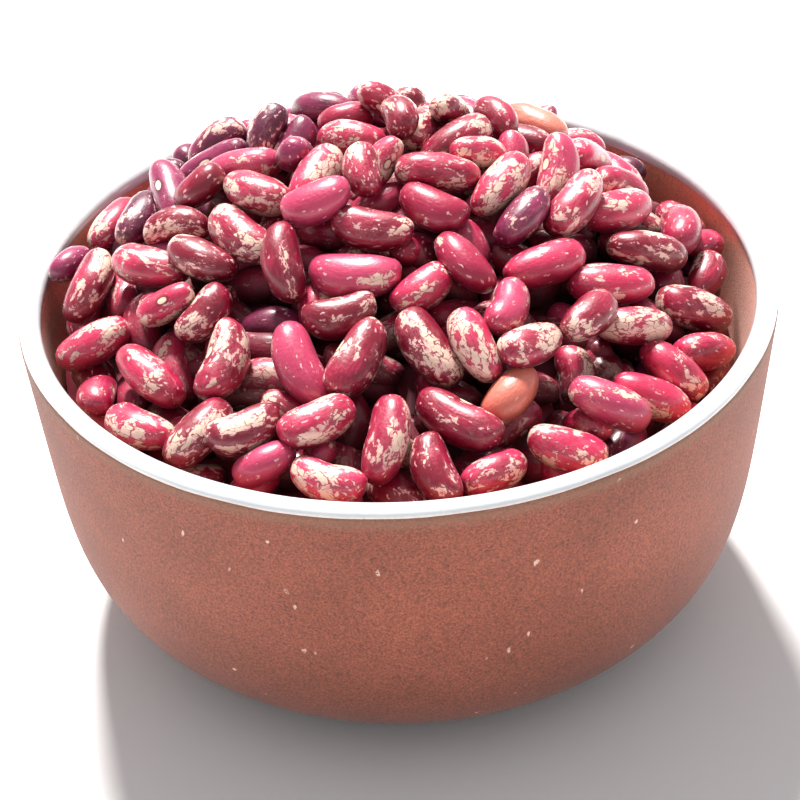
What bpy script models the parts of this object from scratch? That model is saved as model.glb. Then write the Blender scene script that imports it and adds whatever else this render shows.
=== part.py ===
"""A bowl of dried beans: a turned stoneware bowl and the heap of speckled kidney beans that fills it.

Metres, +Z up. The origin is the centre of the bowl's base, and the photo looks along +Y.
"""

import math

import bmesh
import bpy
import numpy as np

# Bowl
RIM_RADIUS = 0.080
BOWL_HEIGHT = 0.078
WALL = 0.0045
BASE_RADIUS = 0.0475
BASE_THICKNESS = 0.0055
SIDE_TAPER = 0.079
CORNER_POWER = 7.0
BOWL_SIDES = 48
SIDE_STEPS = 10
LIP_STEPS = 6

# Heap: how high its beans reach, against the rim
HEAP_CROWN = 0.024
HEAP_LEAN_BACK = 0.45
HEAP_FULLNESS = 1.15
WALL_LEVEL = -0.0065
WALL_LEVEL_SWING = 0.0035
LOWEST_SIDE = math.radians(30)
STEP_HEIGHT = 0.004
STEP_BACK = -0.008
STEP_RUN = 0.012

# Bed under the beans that show, and the core that carries them
BED_DEPTH = 0.015
UNDER_LAYER_DEPTH = 0.009
CORE_DEPTH = 0.0065
CORE_GAP = 0.0007
CORE_STEP = 0.003
CORE_SIDES = 36
CORE_RINGS = 7

# Beans
MEAN_LENGTH = 0.0165
LENGTH_SPREAD = 0.0015
SHORTEST = 0.0125
LONGEST = 0.0195
WIDTH_AT_NO_LENGTH = 0.0046
WIDTH_PER_LENGTH = 0.27
WIDTH_SPREAD = 0.0004
THICKNESS_RATIO = 0.89
LEAST_BEND = 0.03
MOST_BEND = 0.11
BLUNT_ENDS = 0.66
BEAN_RINGS = 4
BEAN_SIDES = 6
BEAN_SUNK = 0.0005
BOWL_CLEARANCE = 0.0014
CONTACT_OVERLAP = 0.0013

# Laying
SEED = 14
CELL = 0.001
PLAN_HALF = 0.084
ROUNDING = 5
STEEPEST_LIE = math.radians(35)
WIDEST_ROLL = math.radians(40)
SOUNDING = (9, 10)
ROOF = (24, 30)
COVERING_PENALTY = 0.012
OUTSIDE_PENALTY = 8
POSES = 14
WANDER = 0.004
NUDGE = 0.0015
NUDGE_COST = 0.3
SWING = math.radians(10)
SWING_COST = 0.002
CLOSED_ROUND = 0.003
SMALLEST_HOLLOW = 0.0016
NEARLY_DEEPEST = 0.85
TOO_PROUD = 0.0035
REACH_SIDE = (0.043, 0.11, 9.5)
TRIES = 700
LEAST_SHOWING = 0.19

# Beans that the photo shows plainly: mm across and back from the middle, heading and nose-up tilt in
# degrees, and length in mm, from the lowest to those that lie on top
SHOWN_BEANS = (
    (-15, -65, -24, -7, 15),
    (-27, -60, 11, 13, 13),
    (-52, -45, -33, 7, 17),
    (-41, -49, 49, 26, 17),
    (17, -63, 33, 8, 14),
    (7, -62, -60, -25, 15),
    (31, -58, -9, -19, 16),
    (40, -51, -14, -25, 17),
    (49, -42, -3, -26, 17),
    (62, -25, 36, -21, 16),
    (56, -34, -32, -33, 16),
    (-63, -19, 1, 29, 17),
    (-66, 0, 70, 32, 18),
    (-62, 27, 75, 3, 17),
    (65, 26, -50, -10, 13),
    (60, -16, 7, -20, 18),
    (49, -29, 6, -25, 16),
    (-32, -53, 14, 17, 15),
    (-18, -56, 19, 14, 16),
    (-2, -60, 63, 23, 18),
    (21, -49, 52, 14, 15),
    (12, -54, -27, -18, 19),
    (-50, -34, -49, -12, 18),
    (-35, -36, 70, 24, 18),
    (-21, -42, -73, -33, 19),
    (-10, -43, 58, 22, 18),
    (4, -40, -53, -21, 18),
    (13, -42, -52, -24, 16),
    (24, -42, 29, 1, 15),
    (36, -34, 42, 0, 15),
    (-39, -23, 44, 24, 14),
    (-56, 16, 71, 5, 16),
    (-51, -6, -40, 4, 18),
    (-41, -13, -32, 3, 16),
    (54, -5, 12, -22, 18),
    (45, -20, 16, -18, 18),
    (-13, -32, 9, 9, 15),
    (20, -33, 62, 15, 15),
    (5, -25, 38, 10, 14),
    (15, -22, -42, -19, 16),
    (30, -19, 18, -10, 18),
    (47, 5, 37, -13, 18),
    (-33, -9, -53, -6, 18),
    (-24, -17, -72, -28, 17),
    (39, -4, 55, 6, 18),
    (28, -9, 42, 5, 16),
    (-7, -23, -26, -6, 19),
    (-30, 2, -49, -4, 18),
    (24, -1, 55, 10, 18),
    (-3, -14, -12, -7, 17),
    (8, -9, -32, -23, 15),
    (-14, -10, 5, 11, 15),
    (-17, 2, 50, 13, 16),
    (11, 1, -1, -9, 18),
    (-10, 19, -30, 9, 16),
    (14, 18, 32, 13, 18),
    (-32, 17, -15, 19, 18),
    (49, 34, -57, 0, 17),
    (-16, 41, -35, 14, 17),
    (-3, 42, -27, -1, 18),
    (32, 39, -53, -3, 17),
)


def clear_scene():
    for item in list(bpy.data.objects):
        bpy.data.objects.remove(item, do_unlink=True)


def add_object(name, mesh, material):
    mesh.materials.append(material)
    mesh.shade_smooth()
    mesh.set_sharp_from_angle(angle=math.radians(50))
    item = bpy.data.objects.new(name, mesh)
    bpy.context.scene.collection.objects.link(item)
    return item


def principled(name, colour, roughness):
    material = bpy.data.materials.new(name)
    material.use_nodes = True
    shader = material.node_tree.nodes["Principled BSDF"]
    shader.inputs["Base Color"].default_value = (*colour, 1.0)
    shader.inputs["Roughness"].default_value = roughness
    shader.inputs["Metallic"].default_value = 0.0
    return material


def bowl_side(step, base_radius=BASE_RADIUS, taper=SIDE_TAPER, power=CORNER_POWER):
    """Outer and inner point (radius, height) of the bowl's side, step 0 at the base and 1 at the lip.

    The side is a straight taper less a power curve that turns it in to the base. The inner point
    lies a wall's thickness in from the outer one, square to that curve.
    """
    side_height = BOWL_HEIGHT - WALL / 2
    corner = RIM_RADIUS - base_radius - taper * RIM_RADIUS
    radius = RIM_RADIUS * (1 - taper * (1 - step)) - corner * (1 - step) ** power
    lean = corner * power * (1 - step) ** (power - 1)
    slant = math.hypot(lean, side_height)
    outer = (radius, side_height * step)
    inner = (radius - WALL * side_height / slant, side_height * step + WALL * lean / slant)
    return outer, inner


def bowl_steps():
    return [(i / SIDE_STEPS) ** 1.6 for i in range(SIDE_STEPS + 1)]


def inner_outline(*side):
    """The hollow's outline (radius, height) from the floor's edge up to the lip."""
    rising = [bowl_side(step, *side)[1] for step in bowl_steps()]
    rising = [point for point in rising if point[1] > BASE_THICKNESS * 1.05]
    floor_edge = (rising[0][0] - WALL / 2, BASE_THICKNESS)
    return [floor_edge, *rising]


def lip_outline():
    """The lip's half round (radius, height), from the outside over to the inside."""
    centre = RIM_RADIUS - WALL / 2
    level = BOWL_HEIGHT - WALL / 2
    turns = [math.pi * i / LIP_STEPS for i in range(1, LIP_STEPS)]
    return [(centre + WALL / 2 * math.cos(a), level + WALL / 2 * math.sin(a)) for a in turns]


def turned_mesh(name, outline, sides):
    """Spins an outline of (radius, height) points, both ends on the axis, into a closed body."""
    mesh = bpy.data.meshes.new(name)
    work = bmesh.new()
    verts = [work.verts.new((radius, 0.0, height)) for radius, height in outline]
    edges = [work.edges.new(pair) for pair in zip(verts, verts[1:])]
    bmesh.ops.spin(
        work,
        geom=verts + edges,
        cent=(0, 0, 0),
        axis=(0, 0, 1),
        dvec=(0, 0, 0),
        angle=2 * math.pi,
        steps=sides,
    )
    bmesh.ops.remove_doubles(work, verts=work.verts, dist=1e-6)
    bmesh.ops.dissolve_degenerate(work, edges=work.edges, dist=1e-6)
    bmesh.ops.recalc_face_normals(work, faces=work.faces)
    work.to_mesh(mesh)
    work.free()
    return mesh


def build_bowl():
    """Bowl, rim and base in one piece of fired clay."""
    outer = [bowl_side(step)[0] for step in bowl_steps()]
    inner = inner_outline()[::-1]
    outline = [(0.0, 0.0), *outer, *lip_outline(), *inner, (0.0, BASE_THICKNESS)]
    clay = principled("stoneware", (0.35, 0.115, 0.08), 0.6)
    return add_object("bowl", turned_mesh("bowl", outline, BOWL_SIDES), clay)


def heap_top(x, y):
    """Height of the heap's beans above the base, at plan places x and y."""
    out = np.minimum(np.hypot(x, y) / (RIM_RADIUS - WALL), 1.0) ** 2
    at_wall = WALL_LEVEL - WALL_LEVEL_SWING * np.cos(np.arctan2(y, x) - LOWEST_SIDE)
    dome = HEAP_CROWN * (1 - out**HEAP_FULLNESS) * (1 + HEAP_LEAN_BACK * y / RIM_RADIUS)
    ramp = np.clip((y - STEP_BACK + STEP_RUN) / STEP_RUN, 0.0, 1.0)
    ledge = STEP_HEIGHT * (ramp * ramp * (3 - 2 * ramp) - 0.5) * (1 - out)
    return BOWL_HEIGHT + at_wall * out + dome + ledge


def bowl_reach():
    """Heights, and how far out a bean may lie at each: to the wall, then over the round of the lip.

    The wall here is REACH_SIDE's, a base radius, taper and power that keep it just inside the bowl's.
    """
    wall = [(height, radius - BOWL_CLEARANCE) for radius, height in inner_outline(*REACH_SIDE)]
    centre = RIM_RADIUS - WALL / 2
    level = BOWL_HEIGHT - WALL / 2
    keep_off = WALL / 2 + BOWL_CLEARANCE
    turns = [math.pi / 2 * i / LIP_STEPS for i in range(1, LIP_STEPS + 1)]
    over = [(level + keep_off * math.sin(a), centre - keep_off * math.cos(a)) for a in turns]
    heights, radii = zip(*wall, *over, (over[-1][0] + BOWL_CLEARANCE, RIM_RADIUS))
    return np.array(heights), np.array(radii)


def draw_bean(rng, length=None):
    """Sizes of one bean: length, width, thickness and bend, the last as a share of the length."""
    drawn = float(np.clip(rng.normal(MEAN_LENGTH, LENGTH_SPREAD), SHORTEST, LONGEST))
    length = drawn if length is None else length
    width = WIDTH_AT_NO_LENGTH + WIDTH_PER_LENGTH * length + WIDTH_SPREAD * rng.uniform(-1, 1)
    bend = rng.uniform(LEAST_BEND, MOST_BEND)
    return length, width, width * THICKNESS_RATIO, bend


def bean_skin(sizes, rings, sides):
    """Points on a bean lying along +X and bent towards +Y: one end, the rings, the other end.

    With few sides the rings are wider, so that the section's area stays that of a round bean.
    """
    length, width, thickness, bend = sizes
    along = math.pi * np.arange(1, rings + 1) / (rings + 1)
    round_it = 2 * math.pi * np.arange(sides) / sides
    t, a = np.meshgrid(along, round_it, indexing="ij")
    same_section = 1 / np.sqrt(np.sinc(2 / sides))
    plump = np.sin(t) ** BLUNT_ENDS * same_section
    skin = np.stack([-np.cos(t), plump * np.cos(a), plump * np.sin(a)], axis=-1).reshape(-1, 3)
    skin = np.vstack([[-1, 0, 0], skin, [1, 0, 0]])
    middle = bend * length * (skin[:, 0] ** 2 - 1 / 3)
    skin = skin * (length / 2, width / 2, thickness / 2)
    skin[:, 1] += middle
    return skin


def bean_faces(rings, sides):
    """Faces of bean_skin's points: a fan at each end and quads between the rings."""
    last = rings * sides + 1
    faces = []
    for side in range(sides):
        after = (side + 1) % sides
        faces.append((0, 1 + after, 1 + side))
        faces.append((last, last - sides + side, last - sides + after))
        for ring in range(rings - 1):
            near = 1 + ring * sides
            far = near + sides
            faces.append((near + side, near + after, far + after, far + side))
    return faces


def turn_matrices(heading, tilt, roll):
    """Rotations, one a pose, that roll a bean about its length, lift its nose and turn it to a heading."""
    level = np.zeros_like(heading)
    nose = np.stack([np.cos(heading) * np.cos(tilt), np.sin(heading) * np.cos(tilt), np.sin(tilt)], -1)
    left = np.stack([-np.sin(heading), np.cos(heading), level], -1)
    top = np.cross(nose, left)
    cos_roll = np.cos(roll)[:, None]
    sin_roll = np.sin(roll)[:, None]
    return np.stack([nose, left * cos_roll + top * sin_roll, top * cos_roll - left * sin_roll], -1)


class Heap:
    """The heap as it is laid: the height of what lies at each cell of a plan, and whose bean it is."""

    def __init__(self):
        middles = (np.arange(round(2 * PLAN_HALF / CELL)) + 0.5) * CELL - PLAN_HALF
        self.x, self.y = np.meshgrid(middles, middles, indexing="ij")
        self.target = heap_top(self.x, self.y)
        radius = np.hypot(self.x, self.y)
        self.inside = radius < RIM_RADIUS - WALL
        lip_top = BOWL_HEIGHT + BOWL_CLEARANCE
        self.height = np.where(self.inside, self.target - BED_DEPTH, lip_top)
        self.owner = np.full(self.height.shape, -1)
        self.fixed = np.zeros(self.height.shape, bool)
        self.reach = bowl_reach()
        self.rng = np.random.RandomState(SEED)
        self.beans = []

    def cells(self, points):
        column = np.clip(((points + PLAN_HALF) / CELL).astype(int), 0, self.height.shape[0] - 1)
        return column[..., 0], column[..., 1]

    def try_poses(self, sizes, place, heading, tilt, roll):
        """Drops a bean in many poses. Gives for each its resting height, how far it passes the bowl's
        reach, and the share of it that lies over beans that must show."""
        skin = bean_skin(sizes, *SOUNDING)
        turned = np.einsum("kij,pj->kpi", turn_matrices(heading, tilt, roll), skin)
        turned[..., :2] += place[:, None, :]
        cells = self.cells(turned[..., :2])
        rest = (self.height[cells] - turned[..., 2]).max(axis=1) - CONTACT_OVERLAP
        out = np.hypot(turned[..., 0], turned[..., 1])
        allowed = np.interp(turned[..., 2] + rest[:, None], *self.reach)
        outside = np.clip(out - allowed, 0, None).max(axis=1)
        covering = self.fixed[cells].mean(axis=1)
        return rest, outside, covering

    def keep(self, sizes, place, height, angles, shown):
        """Adds a bean in its pose and raises the plan's heights to its upper side."""
        place = np.round([*place, height], ROUNDING)
        angles = np.round(angles, 3)
        matrix = turn_matrices(*(np.array([angle]) for angle in angles))[0]
        roof = bean_skin(sizes, *ROOF) @ matrix.T + place
        cells = self.cells(roof[:, :2])
        cover = np.zeros_like(self.height)
        np.maximum.at(cover, cells, roof[:, 2])
        higher = (cover > self.height) & self.inside
        self.height[higher] = cover[higher]
        self.owner[higher] = len(self.beans)
        self.fixed[higher] = shown
        spread = int((cover > 0).sum())
        self.beans.append({"sizes": sizes, "place": place, "matrix": matrix, "spread": spread})

    def lay_shown(self, across, back, heading, tilt, length):
        """Lays one of the beans that the photo shows, as near its place as those under it allow."""
        sizes = draw_bean(self.rng, length * 0.001)
        steps = NUDGE * np.linspace(-1, 1, 3)
        swings = SWING * np.linspace(-1, 1, 3)
        rolls = WIDEST_ROLL * np.linspace(-1, 1, 4)
        grid = np.meshgrid(steps, steps, swings, swings, rolls, indexing="ij")
        dx, dy, turn, lift, roll = (part.ravel() for part in grid)
        place = np.stack([across * 0.001 + dx, back * 0.001 + dy], -1)
        heading = math.radians(heading) + turn
        tilt = math.radians(tilt) + lift
        rest, outside, covering = self.try_poses(sizes, place, heading, tilt, roll)
        wanted = heap_top(place[:, 0], place[:, 1]) - sizes[2] / 2
        moved = np.hypot(dx, dy) * NUDGE_COST + (np.abs(turn) + np.abs(lift)) * SWING_COST
        spoilt = outside * OUTSIDE_PENALTY + covering * COVERING_PENALTY / 2
        score = np.abs(rest - wanted) + moved + spoilt
        best = int(np.argmin(np.round(score, ROUNDING)))
        self.keep(sizes, place[best], rest[best], (heading[best], tilt[best], roll[best]), True)

    def hollow(self, depth, closed):
        """Plan place of one of the deepest hollows left below the wanted surface, or None."""
        short = np.where(self.inside & ~closed, self.target - depth - self.height, 0.0)
        near = range(-2, 3)
        mean = sum(np.roll(short, (i, j), (0, 1)) for i in near for j in near) / len(near) ** 2
        mean = np.round(mean, ROUNDING)
        if mean.max() < SMALLEST_HOLLOW:
            return None
        deep = np.argwhere(mean > NEARLY_DEEPEST * mean.max())
        row, column = deep[self.rng.randint(len(deep))]
        return np.array([self.x[row, column], self.y[row, column]])

    def lay_in(self, middle, depth, length=None):
        """Lays a bean round a hollow's middle, in the pose that sinks best. False if each stands proud."""
        sizes = draw_bean(self.rng, length)
        places = middle + self.rng.uniform(-WANDER, WANDER, (POSES, 2))
        headings = self.rng.uniform(-math.pi, math.pi, POSES)
        tilts = STEEPEST_LIE * np.linspace(-1, 1, 7)
        rolls = WIDEST_ROLL * np.linspace(-1, 1, 3)
        grid = np.meshgrid(np.arange(POSES), tilts, rolls, indexing="ij")
        which, tilt, roll = (part.ravel() for part in grid)
        place = places[which]
        rest, outside, covering = self.try_poses(sizes, place, headings[which], tilt, roll)
        proud = rest + sizes[2] / 2 - heap_top(place[:, 0], place[:, 1]) + depth
        score = proud + outside * OUTSIDE_PENALTY + covering * COVERING_PENALTY
        best = int(np.argmin(np.round(score, ROUNDING)))
        if score[best] > TOO_PROUD:
            return False
        angles = (headings[which][best], tilt[best], roll[best])
        self.keep(sizes, place[best], rest[best], angles, False)
        return True

    def fill(self, depth):
        """Lays beans in the hollows, the deepest first, until the heap reaches its surface less depth."""
        closed = np.zeros(self.inside.shape, bool)
        for _ in range(TRIES):
            middle = self.hollow(depth, closed)
            if middle is None:
                return
            if not (self.lay_in(middle, depth) or self.lay_in(middle, depth, SHORTEST)):
                closed |= np.hypot(self.x - middle[0], self.y - middle[1]) < CLOSED_ROUND

    def showing(self):
        """The beans of which enough lies open to the sky."""
        owned = np.bincount(self.owner[self.owner >= 0], minlength=len(self.beans))
        pairs = zip(self.beans, owned)
        return [bean for bean, cells in pairs if cells > LEAST_SHOWING * bean["spread"]]


def laid_heap():
    heap = Heap()
    heap.fill(UNDER_LAYER_DEPTH)
    for row in SHOWN_BEANS:
        heap.lay_shown(*row)
    heap.fill(0.0)
    return heap


def core_mesh():
    """The heap's core: it fills the bowl's hollow less a gap, under a top that follows the heap's."""
    wall = [(radius - CORE_GAP, height + CORE_GAP) for radius, height in inner_outline()]
    lowest_top = BOWL_HEIGHT + WALL_LEVEL - WALL_LEVEL_SWING - CORE_DEPTH
    side = [point for point in wall if point[1] < lowest_top - CORE_STEP]
    edge = RIM_RADIUS - WALL - CORE_GAP - CORE_STEP / 2
    top = [(edge * ring / CORE_RINGS, BOWL_HEIGHT * 2) for ring in range(CORE_RINGS, -1, -1)]
    mesh = turned_mesh("core", [(0.0, BASE_THICKNESS + CORE_GAP), *side, *top], CORE_SIDES)
    for vert in mesh.vertices:
        if vert.co.z > BOWL_HEIGHT * 1.5:
            vert.co.z = float(heap_top(vert.co.x, vert.co.y)) - CORE_DEPTH
    return mesh


def outer_shell_only(item):
    """Fills sealed hollows and drops loose scraps: of the joined body only its largest shell stays."""
    work = bmesh.new()
    work.from_mesh(item.data)
    left = set(work.verts)
    shells = []
    while left:
        shell = set()
        edge = [left.pop()]
        while edge:
            vert = edge.pop()
            shell.add(vert)
            near = {link.other_vert(vert) for link in vert.link_edges} & left
            left -= near
            edge.extend(near)
        shells.append(shell)
    shells.sort(key=len)
    spare = [vert for shell in shells[:-1] for vert in shell]
    bmesh.ops.delete(work, geom=spare, context="VERTS")
    work.to_mesh(item.data)
    work.free()


def build_beans():
    """The heap in one piece: the core with every bean that shows joined on."""
    skin = principled("dried beans", (0.30, 0.02, 0.06), 0.35)
    item = add_object("beans", core_mesh(), skin)
    pieces = bpy.data.collections.new("loose beans")
    bpy.context.scene.collection.children.link(pieces)
    faces = bean_faces(BEAN_RINGS, BEAN_SIDES)
    for bean in laid_heap().showing():
        place = bean["place"] - (0, 0, BEAN_SUNK)
        points = bean_skin(bean["sizes"], BEAN_RINGS, BEAN_SIDES) @ bean["matrix"].T + place
        mesh = bpy.data.meshes.new("bean")
        mesh.from_pydata(points.tolist(), [], faces)
        pieces.objects.link(bpy.data.objects.new("bean", mesh))
    join = item.modifiers.new("join", "BOOLEAN")
    join.operation = "UNION"
    join.operand_type = "COLLECTION"
    join.collection = pieces
    join.solver = "MANIFOLD"
    depsgraph = bpy.context.evaluated_depsgraph_get()
    joined = bpy.data.meshes.new_from_object(item.evaluated_get(depsgraph), depsgraph=depsgraph)
    item.modifiers.clear()
    item.data = joined
    for piece in list(pieces.objects):
        bpy.data.objects.remove(piece, do_unlink=True)
    bpy.data.collections.remove(pieces)
    outer_shell_only(item)
    return item


def main():
    clear_scene()
    build_bowl()
    build_beans()


main()
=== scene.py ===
"""Dresses a bowl of dried beans: the turned clay bowl, its white glazed rim and the heap of beans.

Metres, +Z up. The origin is the centre of the bowl's base, and the photo looks along +Y.
"""

import math
from dataclasses import dataclass

import bmesh
import bpy
import numpy as np
from mathutils import Matrix, Vector


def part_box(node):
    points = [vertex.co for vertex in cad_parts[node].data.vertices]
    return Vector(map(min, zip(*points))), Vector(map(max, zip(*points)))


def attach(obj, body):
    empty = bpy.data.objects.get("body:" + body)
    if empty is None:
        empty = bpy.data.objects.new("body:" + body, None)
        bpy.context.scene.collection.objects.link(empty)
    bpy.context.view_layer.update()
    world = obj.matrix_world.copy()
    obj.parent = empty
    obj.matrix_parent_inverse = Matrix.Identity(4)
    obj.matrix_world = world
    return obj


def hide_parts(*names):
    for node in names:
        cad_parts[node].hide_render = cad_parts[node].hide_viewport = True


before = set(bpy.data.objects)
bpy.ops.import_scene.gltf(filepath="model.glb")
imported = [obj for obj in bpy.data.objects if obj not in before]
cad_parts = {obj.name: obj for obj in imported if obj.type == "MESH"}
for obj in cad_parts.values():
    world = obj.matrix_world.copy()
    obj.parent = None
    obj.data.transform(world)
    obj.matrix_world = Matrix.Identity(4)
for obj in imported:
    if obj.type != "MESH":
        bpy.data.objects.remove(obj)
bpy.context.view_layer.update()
BOWL_LOW, BOWL_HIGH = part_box("bowl")

bl_info = {
    "name": "Bowl of dried beans",
    "version": (1, 0, 0),
    "blender": (4, 5, 0),
    "location": "View3D > Sidebar > Beans",
    "description": "Builds a glazed clay bowl heaped with speckled kidney beans",
    "category": "Add Mesh",
}

# Bowl, as the solid has it
RIM_RADIUS = round(BOWL_HIGH.x, 4)
BOWL_HEIGHT = round(BOWL_HIGH.z, 4)
WALL = 0.0045
BASE_RADIUS = 0.0475
BASE_THICKNESS = 0.0055
SIDE_TAPER = 0.079
CORNER_POWER = 7.0
BOWL_SIDES = 168
SIDE_STEPS = 40
STEP_CROWDING = 1.6
LIP_STEPS = 14

# Glaze: how thick it lies, how far it runs down, and how its lower edge wanders
GLAZE_THICKNESS = 0.00022
GLAZE_ROUNDING = 0.0009
GLAZE_BURIED = 0.0004
GLAZE_STEPS = 36
WANDER_WAVES = (3, 5, 8, 13, 21, 34)
WANDER_SEED = 5

# Clay: its patterns per mm, how strong they are, and the heights in mm where its tone changes: painted shade
# towards the foot and under the base, a darker brow, and painted light inside
CLOUDS_PER_MM = 0.045
GRAIN_PER_MM = 2.1
GRAIN_STRENGTH = 3.2
GRAIN_LOST_INSIDE = 2.0
SPECKS_PER_MM = 0.8
SPECK_STRENGTH = 0.22
FLECKS_PER_MM = 0.23
FLECK_STRENGTH = 0.85
STAIN_STRENGTH = 0.5
UNDERSIDE = (-6.0, 12.0)
UNDERSIDE_SHADE = 0.35
FOOT = (4.0, 58.0)
FOOT_SHADE = 0.60
BROW = (46.0, 70.0)
BROW_SHADE = 0.84
INSIDE_FROM = (38.0, 50.0)

# Heap: how high its beans reach, against the rim
HEAP_CROWN = 0.024
HEAP_LEAN_BACK = 0.45
HEAP_FULLNESS = 1.15
WALL_LEVEL = -0.0065
WALL_LEVEL_SWING = 0.0035
LOWEST_SIDE = math.radians(30)
STEP_HEIGHT = 0.004
STEP_BACK = -0.008
STEP_RUN = 0.012

# Bed of buried beans under those that show
BED_DEPTH = 0.015
UNDER_LAYER_DEPTH = 0.009
BED_GAP = 0.0007
BED_STEP = 0.003
BED_SIDES = 96
BED_RINGS = 30
BURIED_PITCH = 0.0095
BURIED_JITTER = 0.0035
BURIED_LEAN = math.radians(22)
BURIED_RISE = 0.0012
BURIED_SEED = 47

# Beans
MEAN_LENGTH = 0.0165
LENGTH_SPREAD = 0.0015
SHORTEST = 0.0125
LONGEST = 0.0195
WIDTH_AT_NO_LENGTH = 0.0046
WIDTH_PER_LENGTH = 0.27
WIDTH_SPREAD = 0.0004
THICKNESS_RATIO = 0.89
LEAST_BEND = 0.03
MOST_BEND = 0.11
BLUNT_ENDS = 0.66
BOWL_CLEARANCE = 0.0014
CONTACT_OVERLAP = 0.0013

# Laying
SEED = 14
CELL = 0.001
PLAN_HALF = 0.084
ROUNDING = 5
STEEPEST_LIE = math.radians(35)
WIDEST_ROLL = math.radians(40)
SOUNDING = (9, 10)
ROOF = (24, 30)
REACH_SIDE_STEPS = 10
REACH_STEPS = 6
COVERING_PENALTY = 0.012
OUTSIDE_PENALTY = 8
POSES = 14
WANDER = 0.004
NUDGE = 0.0015
NUDGE_COST = 0.3
SWING = math.radians(10)
SWING_COST = 0.002
CLOSED_ROUND = 0.003
SMALLEST_HOLLOW = 0.0016
NEARLY_DEEPEST = 0.85
TOO_PROUD = 0.0035
REACH_SIDE = (0.043, 0.11, 9.5)
TRIES = 700

# Beans that the photo shows plainly: mm across and back from the middle, heading and nose-up tilt in
# degrees, length in mm and kind, from the lowest to those that lie on top
SHOWN_BEANS = (
    (-15, -65, -24, -7, 15, "cream"),
    (-27, -60, 11, 13, 13, "rose"),
    (-52, -45, -33, 7, 17, "speckled"),
    (-41, -49, 49, 26, 17, "cream"),
    (17, -63, 33, 8, 14, "speckled"),
    (7, -62, -60, -25, 15, "crimson"),
    (31, -58, -9, -19, 16, "cream"),
    (40, -51, -14, -25, 17, "rose"),
    (49, -42, -3, -26, 17, "crimson"),
    (62, -25, 36, -21, 16, "speckled"),
    (56, -34, -32, -33, 16, "crimson"),
    (-63, -19, 1, 29, 17, "speckled"),
    (-66, 0, 70, 32, 18, "crimson"),
    (-62, 27, 75, 3, 17, "cream"),
    (65, 26, -50, -10, 13, "rose"),
    (60, -16, 7, -20, 18, "cream"),
    (49, -29, 6, -25, 16, "cream"),
    (-32, -53, 14, 17, 15, "speckled"),
    (-18, -56, 19, 14, 16, "cream"),
    (-2, -60, 63, 23, 18, "rose"),
    (21, -49, 52, 14, 15, "salmon"),
    (12, -54, -27, -18, 19, "crimson"),
    (-50, -34, -49, -12, 18, "crimson"),
    (-35, -36, 70, 24, 18, "cream"),
    (-21, -42, -73, -33, 19, "rose"),
    (-10, -43, 58, 22, 18, "cream"),
    (4, -40, -53, -21, 18, "cream"),
    (13, -42, -52, -24, 16, "speckled"),
    (24, -42, 29, 1, 15, "cream"),
    (36, -34, 42, 0, 15, "speckled"),
    (-39, -23, 44, 24, 14, "speckled"),
    (-56, 16, 71, 5, 16, "plum"),
    (-51, -6, -40, 4, 18, "speckled"),
    (-41, -13, -32, 3, 16, "speckled"),
    (54, -5, 12, -22, 18, "speckled"),
    (45, -20, 16, -18, 18, "crimson"),
    (-13, -32, 9, 9, 15, "crimson"),
    (20, -33, 62, 15, 15, "rose"),
    (5, -25, 38, 10, 14, "speckled"),
    (15, -22, -42, -19, 16, "rose"),
    (30, -19, 18, -10, 18, "crimson"),
    (47, 5, 37, -13, 18, "crimson"),
    (-33, -9, -53, -6, 18, "cream"),
    (-24, -17, -72, -28, 17, "crimson"),
    (39, -4, 55, 6, 18, "cream"),
    (28, -9, 42, 5, 16, "plum"),
    (-7, -23, -26, -6, 19, "rose"),
    (-30, 2, -49, -4, 18, "cream"),
    (24, -1, 55, 10, 18, "cream"),
    (-3, -14, -12, -7, 17, "crimson"),
    (8, -9, -32, -23, 15, "rose"),
    (-14, -10, 5, 11, 15, "rose"),
    (-17, 2, 50, 13, 16, "speckled"),
    (11, 1, -1, -9, 18, "speckled"),
    (-10, 19, -30, 9, 16, "crimson"),
    (14, 18, 32, 13, 18, "speckled"),
    (-32, 17, -15, 19, 18, "rose"),
    (49, 34, -57, 0, 17, "speckled"),
    (-16, 41, -35, 14, 17, "plum"),
    (-3, 42, -27, -1, 18, "plum"),
    (32, 39, -53, -3, 17, "salmon"),
)
BEAN_WITH_EYE_UP = 22
EYE_UP_TURN = -0.6
KIND_SEED = 31
# Corner at the back on the left where plum beans are painted shade
SHADED_CORNER_LEFT_OF = -0.012
SHADED_CORNER_BEHIND = 0.012

# Bean skin: painted shade by depth in mm under the heap's top and by how far the skin faces up
PAINTED_SHADE_DEPTH = (5.5, 14.0)
PAINTED_SHADE_FACING = (0.45, -0.6)
UNDERSIDE_PAINTED_SHADE = 0.6
DEEP_PAINTED_SHADE = 0.94
SKIN_COAT = 0.95

# Camera, fitted to the rim's ellipse and the bowl's outline in the photo
PHOTO_PIXELS = 800
CAMERA_FOCUS_PIXELS = 2200
CAMERA_SENSOR = 36.0
CAMERA_RISE = 0.574
CAMERA_DISTANCE = 0.4663
CAMERA_PAN = 0.00126
CAMERA_TILT = -0.0568
CAMERA_ROLL = 0.049
CAMERA_NEAR = 0.01

FLOOR_HALF = 4.0


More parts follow.
